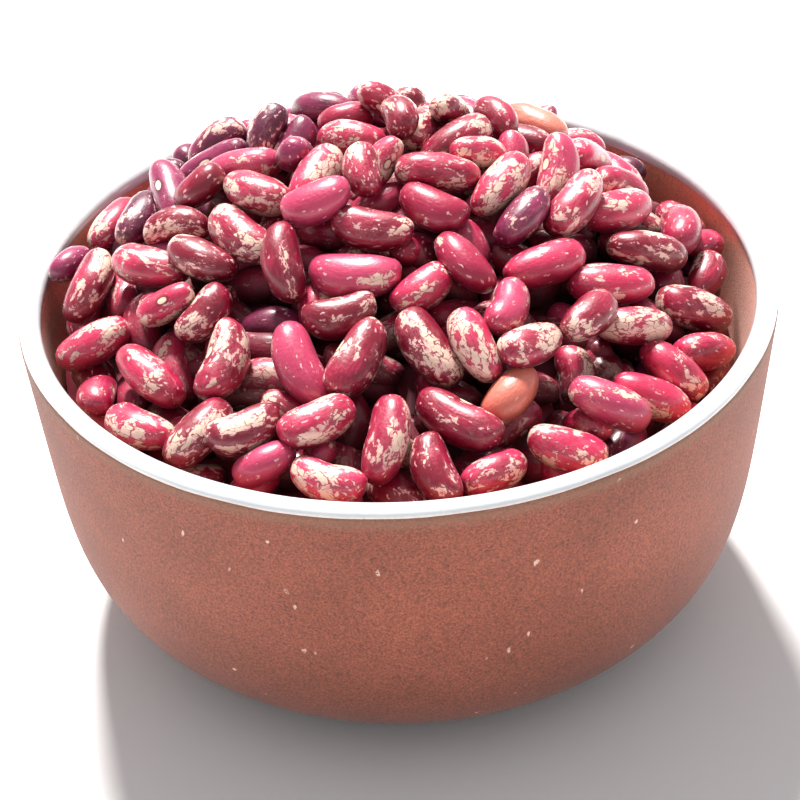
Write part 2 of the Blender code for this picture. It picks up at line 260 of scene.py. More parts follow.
class Wire:
    """A node's output. Python's operators join it to Math nodes."""

    def __init__(self, nodes, socket):
        self.nodes = nodes
        self.socket = socket

    def math(self, operation, *values, clamp=False):
        settings = {"operation": operation, "use_clamp": clamp}
        return self.nodes.add("ShaderNodeMath", settings, dict(enumerate(values)))

    def __add__(self, other):
        return self.math("ADD", self, other)

    def __radd__(self, other):
        return self.math("ADD", other, self)

    def __sub__(self, other):
        return self.math("SUBTRACT", self, other)

    def __rsub__(self, other):
        return self.math("SUBTRACT", other, self)

    def __mul__(self, other):
        return self.math("MULTIPLY", self, other)

    def __rmul__(self, other):
        return self.math("MULTIPLY", other, self)

    def __truediv__(self, other):
        return self.math("DIVIDE", self, other)

    def __pow__(self, other):
        return self.math("POWER", self, other)

    def __neg__(self):
        return self.math("MULTIPLY", self, -1.0)

    def at_least(self, other):
        return self.math("MAXIMUM", self, other)

    def at_most(self, other):
        return self.math("MINIMUM", self, other)

    def root(self):
        return self.math("SQRT", self)

    def size(self):
        return self.math("ABSOLUTE", self)

    def wave(self):
        return self.math("SINE", self)

    def decay(self):
        """e to the power of minus this value."""
        return self.math("EXPONENT", -self)

    def rises(self, start, end):
        """0 below start, 1 above end, and smooth between. With end below start it falls instead."""
        settings = {"interpolation_type": "SMOOTHSTEP"}
        if start > end:
            return 1.0 - self.rises(end, start)
        return self.nodes.add(
            "ShaderNodeMapRange", settings, {"Value": self, "From Min": start, "From Max": end}
        )


class Nodes:
    """A node tree that is being built."""

    def __init__(self, tree):
        self.tree = tree

    def placed(self, kind, settings=None, inputs=None):
        """Adds a node, its settings first and then its sockets' values or links."""
        node = self.tree.nodes.new(kind)
        for name, value in (settings or {}).items():
            setattr(node, name, value)
        for name, value in (inputs or {}).items():
            if isinstance(value, Wire):
                self.tree.links.new(value.socket, node.inputs[name])
            else:
                node.inputs[name].default_value = value
        return node

    def add(self, kind, settings=None, inputs=None, output=0):
        """Adds a node and gives one of its outputs."""
        return Wire(self, self.placed(kind, settings, inputs).outputs[output])

    def vector(self, operation, first, second=(0, 0, 0), output=0):
        return self.add("ShaderNodeVectorMath", {"operation": operation}, {0: first, 1: second}, output)

    def stretched(self, place, factors):
        return self.vector("MULTIPLY", place, factors)

    def scaled(self, place, factor):
        return self.add(
            "ShaderNodeVectorMath", {"operation": "SCALE"}, {"Vector": place, "Scale": factor}
        )

    def split(self, vector):
        node = self.placed("ShaderNodeSeparateXYZ", {}, {0: vector})
        return [Wire(self, output) for output in node.outputs]

    def joined(self, x, y, z):
        return self.add("ShaderNodeCombineXYZ", {}, {0: x, 1: y, 2: z})

    def noise(self, place, scale, detail=2.0, roughness=0.5, output="Fac"):
        inputs = {"Vector": place, "Scale": scale, "Detail": detail, "Roughness": roughness}
        return self.add("ShaderNodeTexNoise", {}, inputs, output)

    def cells(self, place, scale, feature="F1", output="Distance"):
        inputs = {"Vector": place, "Scale": scale}
        return self.add("ShaderNodeTexVoronoi", {"feature": feature}, inputs, output)

    def warped(self, place, scale, reach):
        """A place moved about by noise, by up to about reach."""
        drift = self.vector("SUBTRACT", self.noise(place, scale, output="Color"), (0.5, 0.5, 0.5))
        return self.vector("ADD", place, self.scaled(drift, 2 * reach))

    def mix(self, share, first, second):
        """A colour that goes from first to second as share goes from 0 to 1."""
        inputs = {0: share, 6: opaque(first), 7: opaque(second)}
        return self.add("ShaderNodeMix", {"data_type": "RGBA"}, inputs, 2)

    def dimmed(self, colour, factor):
        """A colour times a number, which may vary."""
        settings = {"data_type": "RGBA", "blend_type": "MULTIPLY"}
        grey = self.joined(factor, factor, factor)
        return self.add("ShaderNodeMix", settings, {0: 1.0, 6: opaque(colour), 7: grey}, 2)

    def attribute(self, name, output="Vector"):
        return self.add("ShaderNodeAttribute", {"attribute_name": name}, {}, output)

    def bump(self, height, strength, distance):
        inputs = {"Height": height, "Strength": strength, "Distance": distance}
        return self.add("ShaderNodeBump", {}, inputs)


def opaque(colour):
    return colour if isinstance(colour, Wire) else (*tuple(colour)[:3], 1.0)


def new_paint(name):
    """A material, emptied, and the Nodes that fill it."""
    material = bpy.data.materials.new(name)
    material.use_nodes = True
    material.node_tree.nodes.clear()
    return material, Nodes(material.node_tree)


def finish_paint(nodes, inputs):
    """Ends a material in a Principled shader with these values and links."""
    shader = nodes.add("ShaderNodeBsdfPrincipled", {}, inputs)
    nodes.placed("ShaderNodeOutputMaterial", {}, {"Surface": shader})


def clay_material(looks):
    """Matt fired clay: grained terracotta, with painted shade darker to its foot and painted light on its
    inner wall, with dark specks, pale flecks and a stain under the glaze."""
    material, nodes = new_paint("fired clay")
    place = nodes.add("ShaderNodeTexCoord", {}, {}, "Object")
    in_mm = nodes.scaled(place, 1000.0)
    across, back, height = nodes.split(in_mm)
    clouds = nodes.noise(in_mm, CLOUDS_PER_MM, 4.0)
    grain = nodes.noise(in_mm, GRAIN_PER_MM, 3.0, 0.65)
    colour = nodes.mix(clouds.rises(0.35, 0.65), looks.clay_dark, looks.clay)
    # Painted shade: darker towards the foot, and darker still low on the side and under the base
    colour = nodes.mix(height.rises(*FOOT), nodes.dimmed(colour, FOOT_SHADE), colour)
    colour = nodes.mix(height.rises(*UNDERSIDE), nodes.dimmed(colour, UNDERSIDE_SHADE), colour)
    colour = nodes.mix(height.rises(*BROW), colour, nodes.dimmed(colour, BROW_SHADE))
    radius = (across * across + back * back).root()
    wall_middle = (height.at_most(BOWL_HEIGHT * 1000) - BOWL_HEIGHT * 1000) * SIDE_TAPER
    inside = (RIM_RADIUS - WALL / 2) * 1000 + wall_middle - radius
    is_inside = inside.rises(0.4, 0.9) * height.rises(*INSIDE_FROM)
    # Painted light: the inner wall's clay is lighter than the outside's
    colour = nodes.mix(is_inside, colour, looks.lit_clay_inside)
    grain_strength = GRAIN_STRENGTH - is_inside * GRAIN_LOST_INSIDE
    colour = nodes.dimmed(colour, 1.0 + (grain - 0.5) * grain_strength)
    specks = nodes.cells(in_mm, SPECKS_PER_MM)
    speck_kind = nodes.split(nodes.cells(in_mm, SPECKS_PER_MM, output="Color"))[0]
    dark_speck = specks.rises(0.42, 0.12) * speck_kind.rises(0.5, 0.8) * SPECK_STRENGTH
    colour = nodes.mix(dark_speck, colour, looks.clay_speck)
    flecks_place = nodes.warped(nodes.stretched(in_mm, (1.0, 1.0, 0.55)), 0.4, 1.0)
    flecks = nodes.cells(flecks_place, FLECKS_PER_MM)
    fleck_kind = nodes.split(nodes.cells(flecks_place, FLECKS_PER_MM, output="Color"))[1]
    chipped = nodes.noise(in_mm, 2.0).rises(0.36, 0.5)
    pale_fleck = flecks.rises(0.12, 0.06) * fleck_kind.rises(0.62, 0.68) * chipped
    colour = nodes.mix(pale_fleck * FLECK_STRENGTH, colour, looks.clay_fleck)
    edge = (BOWL_HEIGHT - WALL / 2) * 1000
    ragged = height + nodes.noise(in_mm, 0.3, 3.0) * 1.6
    stain = ragged.rises(edge - 2.2, edge + 0.8) * (1.0 - is_inside)
    colour = nodes.mix(stain * STAIN_STRENGTH, colour, looks.clay_stain)
    relief = grain * 0.7 + nodes.noise(in_mm, 2.6, 3.0) * 0.3 - pale_fleck * 0.4
    inputs = {
        "Base Color": colour,
        "Roughness": 0.66 + grain * 0.2,
        "Sheen Weight": 0.15,
        "Sheen Roughness": 0.4,
        "Normal": nodes.bump(relief, 0.5, 0.0004),
    }
    finish_paint(nodes, inputs)
    return material


def glaze_material(looks):
    """Glossy white glaze, thin and a little pink where it ends."""
    material, nodes = new_paint("white glaze")
    place = nodes.add("ShaderNodeTexCoord", {}, {}, "Object")
    in_mm = nodes.scaled(place, 1000.0)
    thin = nodes.attribute("thin", "Fac")
    blotch = nodes.noise(in_mm, 0.09, 3.0)
    colour = nodes.mix(blotch.rises(0.3, 0.7), looks.glaze, looks.glaze_shade)
    pits = nodes.cells(in_mm, 0.5).rises(0.09, 0.05)
    is_pit = nodes.split(nodes.cells(in_mm, 0.5, output="Color"))[0].rises(0.9, 0.92)
    ragged_thin = thin + (nodes.noise(in_mm, 1.2, 3.0) - 0.5) * 0.5
    colour = nodes.mix(ragged_thin.rises(0.55, 1.0) * 0.75, colour, looks.glaze_edge)
    colour = nodes.mix(pits * is_pit * 0.5, colour, looks.clay_dark)
    relief = nodes.noise(in_mm, 0.22, 2.0) - pits * is_pit * 0.3
    inputs = {
        "Base Color": colour,
        "Roughness": 0.13 + blotch * 0.1,
        "Coat Weight": 0.4,
        "Coat Roughness": 0.06,
        "Normal": nodes.bump(relief, 0.3, 0.0005),
    }
    finish_paint(nodes, inputs)
    return material


@dataclass
class Skin:
    """How one kind of bean is coloured: its two ground colours, then how much of it is pale patches,
    small flecks and rings, each from 0 to 1."""

    deep: tuple
    bright: tuple
    patches: float
    flecks: float
    rings: float


def bean_skins(looks):
    return {
        "crimson": Skin(looks.crimson_deep, looks.crimson, 0.26, 0.85, 0.0),
        "rose": Skin(looks.rose_deep, looks.rose, 0.20, 0.8, 0.0),
        "speckled": Skin(looks.crimson_deep, looks.crimson, 0.46, 1.0, 0.8),
        "cream": Skin(looks.crimson_deep, looks.crimson, 0.61, 0.9, 0.2),
        "plum": Skin(looks.plum_deep, looks.plum, 0.22, 0.6, 0.3),
        "salmon": Skin(looks.salmon_deep, looks.salmon, 0.0, 0.1, 0.0),
    }


def pale_patches(nodes, skin, eye, amount, rings):
    """Pale patches drawn out along the bean, in some beans ranged in rings round one end. Gives how
    far each place is inside a patch, below 0 outside, and how much the cracks there leave of it."""
    warped = nodes.warped(skin, 0.42, 1.2)
    grid = nodes.stretched(warped, (0.36, 0.72, 0.72))
    each = nodes.split(nodes.cells(grid, 1.0, output="Color"))[0]
    cracks = nodes.cells(grid, 1.0, "DISTANCE_TO_EDGE")
    blotches = nodes.noise(nodes.stretched(warped, (0.5, 1.0, 1.0)), 0.42, 5.0, 0.62)
    cluster = nodes.noise(nodes.stretched(skin, (0.6, 1.0, 1.0)), 0.13, 1.0)
    level = (blotches - 0.5) + (each - 0.5) * 0.14 + (cluster - 0.5) * 0.8
    from_end = nodes.vector("DISTANCE", eye, (0.75, 0.1, 0.5), "Value")
    ripple = (from_end * 30.0 + nodes.noise(skin, 0.5, 2.0) * 6.0).wave()
    level = level + ripple * from_end.rises(0.85, 0.35) * 0.10 * rings
    over = level - 0.22 + amount * 0.36
    wide = (nodes.noise(skin, 0.5, 2.0) - 0.45) * 0.35
    split = (cracks - wide.at_least(0.0) + (nodes.noise(skin, 1.8, 2.0) - 0.5) * 0.1).rises(0.0, 0.035)
    return over, split


def small_flecks(nodes, skin, amount):
    """Pale dashes of about half a millimetre, along the bean."""
    place = nodes.stretched(nodes.warped(skin, 0.8, 0.7), (0.35, 1.0, 1.0))
    each = nodes.split(nodes.cells(place, 0.95, output="Color"))[1]
    near = nodes.cells(place, 0.95)
    crowd = nodes.noise(skin, 0.25, 1.0)
    return near.rises(0.27, 0.15) * (each + crowd * 0.5 + amount * 0.5 - 1.1).rises(0.0, 0.1)


def bean_eye(nodes, eye):
    """The scar where the bean hung in its pod, and the dark ring round it."""
    along, across, through = nodes.split(eye)
    spread = ((along / 0.16) ** 2.0 + (through / 0.18) ** 2.0).root()
    side = across.rises(0.3, 0.5)
    scar = spread.rises(1.05, 0.92) * side
    ring = spread.rises(1.75, 1.25) * side
    return scar, ring


def painted_bean_shade(nodes):
    """Painted shade at a place on a bean: by how deep it lies under the heap's top, and by how far its skin
    faces down."""
    place = nodes.scaled(nodes.add("ShaderNodeTexCoord", {}, {}, "Object"), 1000.0)
    depth = nodes.attribute("top", "Fac") - nodes.split(place)[2]
    upward = nodes.split(nodes.add("ShaderNodeNewGeometry", {}, {}, "Normal"))[2]
    return depth.rises(*PAINTED_SHADE_DEPTH), upward.rises(*PAINTED_SHADE_FACING)


def bean_material(kind, skin_look, looks):
    """Dry bean skin: a clouded ground with fine streaks, pale patches and flecks, and the eye."""
    material, nodes = new_paint(f"bean skin {kind}")
    skin = nodes.attribute("skin")
    eye = nodes.attribute("eye")
    tint = nodes.attribute("tint", "Fac")
    mottle = nodes.attribute("mottle", "Fac")
    clouds = nodes.noise(skin, 0.16, 3.0)
    streaks = nodes.noise(nodes.stretched(skin, (0.22, 2.6, 2.6)), 1.0, 4.0, 0.6)
    ground_share = (clouds - 0.5) * 1.8 + 0.5 + (tint - 0.5) * 1.2 + (streaks - 0.5) * 1.1
    ground = nodes.mix(ground_share.rises(0.0, 1.0), skin_look.deep, skin_look.bright)
    amount = (mottle - 0.5) * 0.24 + skin_look.patches
    over, split = pale_patches(nodes, skin, eye, amount, skin_look.rings)
    patch = over.rises(-0.004, 0.010) * (0.1 + split * 0.9)
    dark_edge = over.rises(-0.05, -0.01) * 0.5
    ground = nodes.mix(over.rises(-0.12, -0.04) * 0.12, ground, looks.blush)
    ground = nodes.mix(dark_edge, ground, skin_look.deep)
    pale = nodes.mix(over.rises(0.0, 0.07), looks.blush, looks.cream)
    # Painted shade: deep under the heap's top the skin darkens and loses its pale patches; undersides darken
    # too
    buried, underside_painted_shade = painted_bean_shade(nodes)
    colour = nodes.mix(patch * (1.0 - buried), ground, pale)
    fleck = small_flecks(nodes, skin, skin_look.flecks)
    colour = nodes.mix(fleck * 0.8, colour, looks.fleck)
    scar, ring = bean_eye(nodes, eye)
    colour = nodes.mix(ring * 0.75, colour, skin_look.deep)
    colour = nodes.mix(scar, colour, looks.eye)
    # Painted shade on the undersides, then deep places go to the near-black of the gaps
    colour = nodes.dimmed(colour, 1.0 - underside_painted_shade * UNDERSIDE_PAINTED_SHADE)
    colour = nodes.mix(buried * DEEP_PAINTED_SHADE, colour, looks.bed)
    relief = nodes.noise(skin, 1.5, 3.0) * 0.5 + streaks * 0.35 - scar * 0.8 + patch * 0.1
    inputs = {
        "Base Color": colour,
        "Roughness": 0.34 + streaks * 0.16 + scar * 0.3 + buried * 0.3,
        "Specular IOR Level": 0.25,
        "Coat Weight": SKIN_COAT * (1.0 - buried) * (1.0 - underside_painted_shade * 0.85),
        "Coat Roughness": 0.27,
        "Sheen Weight": 0.08,
        "Sheen Roughness": 0.25,
        "Sheen Tint": (*looks.sheen, 1.0),
        "Normal": nodes.bump(relief, 0.6, 0.0004),
    }
    finish_paint(nodes, inputs)
    return material


def bed_material(looks):
    """The buried beans: clouded skin going to near-black, which is painted shade."""
    material, nodes = new_paint("buried beans")
    in_mm = nodes.scaled(nodes.add("ShaderNodeTexCoord", {}, {}, "Object"), 1000.0)
    lumps = nodes.cells(in_mm, 0.09, "SMOOTH_F1")
    colour = nodes.mix(lumps.rises(0.2, 0.9), looks.crimson_deep, looks.bed)
    inputs = {"Base Color": colour, "Roughness": 0.6, "Normal": nodes.bump(-lumps, 0.8, 0.002)}
    finish_paint(nodes, inputs)
    return material


def floor_material(looks):
    """Plain pale floor with the faintest cloudiness."""
    material, nodes = new_paint("pale floor")
    place = nodes.add("ShaderNodeTexCoord", {}, {}, "Object")
    clouds = nodes.noise(place, 1.5, 2.0)
    colour = nodes.dimmed(looks.floor, 0.99 + clouds * 0.02)
    finish_paint(nodes, {"Base Color": colour, "Roughness": 0.9, "Specular IOR Level": 0.2})
    return material


def bowl_side(step, base_radius=BASE_RADIUS, taper=SIDE_TAPER, power=CORNER_POWER):
    """Outer and inner point (radius, height) of the bowl's side, step 0 at the base and 1 at the lip.

    The side is a straight taper less a power curve that turns it in to the base. The inner point
    lies a wall's thickness in from the outer one, square to that curve.
    """
    side_height = BOWL_HEIGHT - WALL / 2
    corner = RIM_RADIUS - base_radius - taper * RIM_RADIUS
    radius = RIM_RADIUS * (1 - taper * (1 - step)) - corner * (1 - step) ** power
    lean = corner * power * (1 - step) ** (power - 1)
    slant = math.hypot(lean, side_height)
    outer = (radius, side_height * step)
    inner = (radius - WALL * side_height / slant, side_height * step + WALL * lean / slant)
    return outer, inner


def side_steps(count):
    return [(i / count) ** STEP_CROWDING for i in range(count + 1)]


def inner_outline(count=SIDE_STEPS, side=()):
    """The hollow's outline (radius, height) from the floor's edge up to the lip."""
    rising = [bowl_side(step, *side)[1] for step in side_steps(count)]
    rising = [point for point in rising if point[1] > BASE_THICKNESS * 1.05]
    floor_edge = (rising[0][0] - WALL / 2, BASE_THICKNESS)
    return [floor_edge, *rising]


def lip_outline():
    """The lip's half round (radius, height), from the outside over to the inside."""
    centre = RIM_RADIUS - WALL / 2
    level = BOWL_HEIGHT - WALL / 2
    turns = [math.pi * i / LIP_STEPS for i in range(1, LIP_STEPS)]
    return [(centre + WALL / 2 * math.cos(a), level + WALL / 2 * math.sin(a)) for a in turns]


def turned_mesh(name, outline, sides):
    """Spins an outline of (radius, height) points, both ends on the axis, into a closed body."""
    mesh = bpy.data.meshes.new(name)
    work = bmesh.new()
    verts = [work.verts.new((radius, 0.0, height)) for radius, height in outline]
    edges = [work.edges.new(pair) for pair in zip(verts, verts[1:])]
    bmesh.ops.spin(
        work,
        geom=verts + edges,
        cent=(0, 0, 0),
        axis=(0, 0, 1),
        dvec=(0, 0, 0),
        angle=2 * math.pi,
        steps=sides,
    )
    bmesh.ops.remove_doubles(work, verts=work.verts, dist=1e-6)
    bmesh.ops.dissolve_degenerate(work, edges=work.edges, dist=1e-6)
    bmesh.ops.recalc_face_normals(work, faces=work.faces)
    work.to_mesh(mesh)
    work.free()
    return mesh


def add_piece(name, mesh, material, node):
    """Adds a finished mesh that stands for a solid and rides on the part's body."""
    mesh.materials.clear()
    mesh.materials.append(material)
    mesh.shade_smooth()
    item = bpy.data.objects.new(name, mesh)
    bpy.context.scene.collection.objects.link(item)
    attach(item, "root")
    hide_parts(node)
    return item


def clay_mesh():
    outer = [bowl_side(step)[0] for step in side_steps(SIDE_STEPS)]
    inner = inner_outline()[::-1]
    outline = [(0.0, 0.0), *outer, *lip_outline(), *inner, (0.0, BASE_THICKNESS)]
    return turned_mesh("clay bowl", outline, BOWL_SIDES)


def edge_wander(rng, reach):
    """How far the glaze's edge lies off its mean level at each side of the bowl."""
    turns = 2 * math.pi * np.arange(BOWL_SIDES) / BOWL_SIDES
    drift = np.zeros(BOWL_SIDES)
    for waves in WANDER_WAVES:
        drift += np.sin(waves * turns + rng.uniform(0, 2 * math.pi)) / math.sqrt(waves)
    return reach * drift / np.abs(drift).max()


def lip_point(run, lift):
    """Point (radius, height) on the lip's outline, run metres from its top, outwards if positive, and
    lifted off the clay."""
    centre = RIM_RADIUS - WALL / 2
    level = BOWL_HEIGHT - WALL / 2
    quarter = math.pi / 2 * WALL / 2
    reach = WALL / 2 + lift
    if abs(run) <= quarter:
        angle = math.pi / 2 - run / (WALL / 2)
        return centre + reach * math.cos(angle), level + reach * math.sin(angle)
    drop = abs(run) - quarter
    return centre + math.copysign(reach, run) - SIDE_TAPER * drop, level - drop


def glaze_section(outside, inside):
    """The glaze's section (radius, height, how thin): from its outer edge over the lip to its inner
    edge, then back through the clay. Its thickness dies away in a round at both edges."""
    section = []
    for i in range(GLAZE_STEPS + 1):
        sway = -math.cos(math.pi * i / GLAZE_STEPS)
        run = (outside - inside) / 2 - sway * (outside + inside) / 2
        left = min(outside - run, run + inside)
        full = min(max(left, 0.0) / GLAZE_ROUNDING, 1.0)
        section.append((*lip_point(run, GLAZE_THICKNESS * math.sqrt(full)), 1 - full))
    section.append((*lip_point(-inside, -GLAZE_BURIED), 1.0))
    section.append((*lip_point(0.0, -GLAZE_BURIED * 2), 1.0))
    section.append((*lip_point(outside, -GLAZE_BURIED), 1.0))
    return section


def glaze_mesh(sizes):
    """A closed ring round the lip, with a wandering edge outside and inside."""
    rng = np.random.RandomState(WANDER_SEED)
    outside = sizes.glaze_outside + edge_wander(rng, sizes.glaze_wander)
    inside = sizes.glaze_inside + edge_wander(rng, sizes.glaze_wander)
    points = []
    thin = []
    for side in range(BOWL_SIDES):
        turn = 2 * math.pi * side / BOWL_SIDES
        for radius, height, how_thin in glaze_section(outside[side], inside[side]):
            points.append((radius * math.cos(turn), radius * math.sin(turn), height))
            thin.append(how_thin)
    count = len(points) // BOWL_SIDES
    faces = []
    for side in range(BOWL_SIDES):
        here = side * count
        there = (side + 1) % BOWL_SIDES * count
        for i in range(count):
            after = (i + 1) % count
            faces.append((here + i, there + i, there + after, here + after))
    mesh = bpy.data.meshes.new("glazed rim")
    mesh.from_pydata(points, [], faces)
    mesh.attributes.new("thin", "FLOAT", "POINT").data.foreach_set("value", thin)
    face_outwards(mesh)
    return mesh


def face_outwards(mesh):
    work = bmesh.new()
    work.from_mesh(mesh)
    bmesh.ops.recalc_face_normals(work, faces=work.faces)
    work.to_mesh(mesh)
    work.free()


def heap_top(x, y):
    """Height of the heap's beans above the base, at plan places x and y."""
    out = np.minimum(np.hypot(x, y) / (RIM_RADIUS - WALL), 1.0) ** 2
    at_wall = WALL_LEVEL - WALL_LEVEL_SWING * np.cos(np.arctan2(y, x) - LOWEST_SIDE)
    dome = HEAP_CROWN * (1 - out**HEAP_FULLNESS) * (1 + HEAP_LEAN_BACK * y / RIM_RADIUS)
    ramp = np.clip((y - STEP_BACK + STEP_RUN) / STEP_RUN, 0.0, 1.0)
    ledge = STEP_HEIGHT * (ramp * ramp * (3 - 2 * ramp) - 0.5) * (1 - out)
    return BOWL_HEIGHT + at_wall * out + dome + ledge


def bowl_reach():
    """Heights, and how far out a bean may lie at each: to the wall, then over the round of the lip.

    The wall here is REACH_SIDE's, a base radius, taper and power that keep it just inside the bowl's.
    """
    outline = inner_outline(REACH_SIDE_STEPS, REACH_SIDE)
    wall = [(height, radius - BOWL_CLEARANCE) for radius, height in outline]
    centre = RIM_RADIUS - WALL / 2
    level = BOWL_HEIGHT - WALL / 2
    keep_off = WALL / 2 + BOWL_CLEARANCE
    turns = [math.pi / 2 * i / REACH_STEPS for i in range(1, REACH_STEPS + 1)]
    over = [(level + keep_off * math.sin(a), centre - keep_off * math.cos(a)) for a in turns]
    heights, radii = zip(*wall, *over, (over[-1][0] + BOWL_CLEARANCE, RIM_RADIUS))
    return np.array(heights), np.array(radii)


def draw_bean(rng, length=None):
    """Sizes of one bean: length, width, thickness and bend, the last as a share of the length."""
    drawn = float(np.clip(rng.normal(MEAN_LENGTH, LENGTH_SPREAD), SHORTEST, LONGEST))
    length = drawn if length is None else length
    width = WIDTH_AT_NO_LENGTH + WIDTH_PER_LENGTH * length + WIDTH_SPREAD * rng.uniform(-1, 1)
    bend = rng.uniform(LEAST_BEND, MOST_BEND)
    return length, width, width * THICKNESS_RATIO, bend


def bean_sounding(sizes, rings, sides):
    """Points on a bean lying along +X and bent towards +Y: one end, the rings, the other end."""
    length, width, thickness, bend = sizes
    along = math.pi * np.arange(1, rings + 1) / (rings + 1)
    round_it = 2 * math.pi * np.arange(sides) / sides
    t, a = np.meshgrid(along, round_it, indexing="ij")
    same_section = 1 / np.sqrt(np.sinc(2 / sides))
    plump = np.sin(t) ** BLUNT_ENDS * same_section
    skin = np.stack([-np.cos(t), plump * np.cos(a), plump * np.sin(a)], axis=-1).reshape(-1, 3)
    skin = np.vstack([[-1, 0, 0], skin, [1, 0, 0]])
    middle = bend * length * (skin[:, 0] ** 2 - 1 / 3)
    skin = skin * (length / 2, width / 2, thickness / 2)
    skin[:, 1] += middle
    return skin


def turn_matrices(heading, tilt, roll):
    """Rotations, one a pose, that roll a bean about its length, lift its nose and turn it to a heading."""
    level = np.zeros_like(heading)
    nose = np.stack([np.cos(heading) * np.cos(tilt), np.sin(heading) * np.cos(tilt), np.sin(tilt)], -1)
    left = np.stack([-np.sin(heading), np.cos(heading), level], -1)
    top = np.cross(nose, left)
    cos_roll = np.cos(roll)[:, None]
    sin_roll = np.sin(roll)[:, None]
    return np.stack([nose, left * cos_roll + top * sin_roll, top * cos_roll - left * sin_roll], -1)


class Heap:
    """The heap as it is laid: the height of what lies at each cell of a plan, and the beans so far.

    It follows the rule that laid the solid's beans, draw for draw, so both lie alike.
    """

    def __init__(self):
        middles = (np.arange(round(2 * PLAN_HALF / CELL)) + 0.5) * CELL - PLAN_HALF
        self.x, self.y = np.meshgrid(middles, middles, indexing="ij")
        self.target = heap_top(self.x, self.y)
        radius = np.hypot(self.x, self.y)
        self.inside = radius < RIM_RADIUS - WALL
        lip_top = BOWL_HEIGHT + BOWL_CLEARANCE
        self.height = np.where(self.inside, self.target - BED_DEPTH, lip_top)
        self.fixed = np.zeros(self.height.shape, bool)
        self.reach = bowl_reach()
        self.rng = np.random.RandomState(SEED)
        self.beans = []

    def cells(self, points):
        column = np.clip(((points + PLAN_HALF) / CELL).astype(int), 0, self.height.shape[0] - 1)
        return column[..., 0], column[..., 1]

    def try_poses(self, sizes, place, heading, tilt, roll):
        """Drops a bean in many poses. Gives for each its resting height, how far it passes the bowl's
        reach, and the share of it that lies over beans that must show."""
        skin = bean_sounding(sizes, *SOUNDING)
        turned = np.einsum("kij,pj->kpi", turn_matrices(heading, tilt, roll), skin)
        turned[..., :2] += place[:, None, :]
        cells = self.cells(turned[..., :2])
        rest = (self.height[cells] - turned[..., 2]).max(axis=1) - CONTACT_OVERLAP
        out = np.hypot(turned[..., 0], turned[..., 1])
        allowed = np.interp(turned[..., 2] + rest[:, None], *self.reach)
        outside = np.clip(out - allowed, 0, None).max(axis=1)
        covering = self.fixed[cells].mean(axis=1)
        return rest, outside, covering

    def keep(self, sizes, place, height, angles, kind):
        """Adds a bean in its pose and raises the plan's heights to its upper side."""
        place = np.round([*place, height], ROUNDING)
        angles = np.round(angles, 3)
        matrix = turn_matrices(*(np.array([angle]) for angle in angles))[0]
        roof = bean_sounding(sizes, *ROOF) @ matrix.T + place
        cells = self.cells(roof[:, :2])
        cover = np.zeros_like(self.height)
        np.maximum.at(cover, cells, roof[:, 2])
        higher = (cover > self.height) & self.inside
        self.height[higher] = cover[higher]
        self.fixed[higher] = kind is not None
        self.beans.append({"sizes": sizes, "place": place, "matrix": matrix, "kind": kind})

    def lay_shown(self, across, back, heading, tilt, length, kind):
        """Lays one of the beans that the photo shows, as near its place as those under it allow."""
        sizes = draw_bean(self.rng, length * 0.001)
        steps = NUDGE * np.linspace(-1, 1, 3)
        swings = SWING * np.linspace(-1, 1, 3)
        rolls = WIDEST_ROLL * np.linspace(-1, 1, 4)
        grid = np.meshgrid(steps, steps, swings, swings, rolls, indexing="ij")
        dx, dy, turn, lift, roll = (part.ravel() for part in grid)
        place = np.stack([across * 0.001 + dx, back * 0.001 + dy], -1)
        heading = math.radians(heading) + turn
        tilt = math.radians(tilt) + lift
        rest, outside, covering = self.try_poses(sizes, place, heading, tilt, roll)
        wanted = heap_top(place[:, 0], place[:, 1]) - sizes[2] / 2
        moved = np.hypot(dx, dy) * NUDGE_COST + (np.abs(turn) + np.abs(lift)) * SWING_COST
        spoilt = outside * OUTSIDE_PENALTY + covering * COVERING_PENALTY / 2
        score = np.abs(rest - wanted) + moved + spoilt
        best = int(np.argmin(np.round(score, ROUNDING)))
        self.keep(sizes, place[best], rest[best], (heading[best], tilt[best], roll[best]), kind)

    def hollow(self, depth, closed):
        """Plan place of one of the deepest hollows left below the wanted surface, or None."""
        short = np.where(self.inside & ~closed, self.target - depth - self.height, 0.0)
        near = range(-2, 3)
        mean = sum(np.roll(short, (i, j), (0, 1)) for i in near for j in near) / len(near) ** 2
        mean = np.round(mean, ROUNDING)
        if mean.max() < SMALLEST_HOLLOW:
            return None
        deep = np.argwhere(mean > NEARLY_DEEPEST * mean.max())
        row, column = deep[self.rng.randint(len(deep))]
        return np.array([self.x[row, column], self.y[row, column]])

    def lay_in(self, middle, depth, length=None):
        """Lays a bean round a hollow's middle, in the pose that sinks best. False if each stands proud."""
        sizes = draw_bean(self.rng, length)
        places = middle + self.rng.uniform(-WANDER, WANDER, (POSES, 2))
        headings = self.rng.uniform(-math.pi, math.pi, POSES)
        tilts = STEEPEST_LIE * np.linspace(-1, 1, 7)
        rolls = WIDEST_ROLL * np.linspace(-1, 1, 3)
        grid = np.meshgrid(np.arange(POSES), tilts, rolls, indexing="ij")
        which, tilt, roll = (part.ravel() for part in grid)
        place = places[which]
        rest, outside, covering = self.try_poses(sizes, place, headings[which], tilt, roll)
        proud = rest + sizes[2] / 2 - heap_top(place[:, 0], place[:, 1]) + depth
        score = proud + outside * OUTSIDE_PENALTY + covering * COVERING_PENALTY
        best = int(np.argmin(np.round(score, ROUNDING)))
        if score[best] > TOO_PROUD:
            return False
        angles = (headings[which][best], tilt[best], roll[best])
        self.keep(sizes, place[best], rest[best], angles, None)
        return True

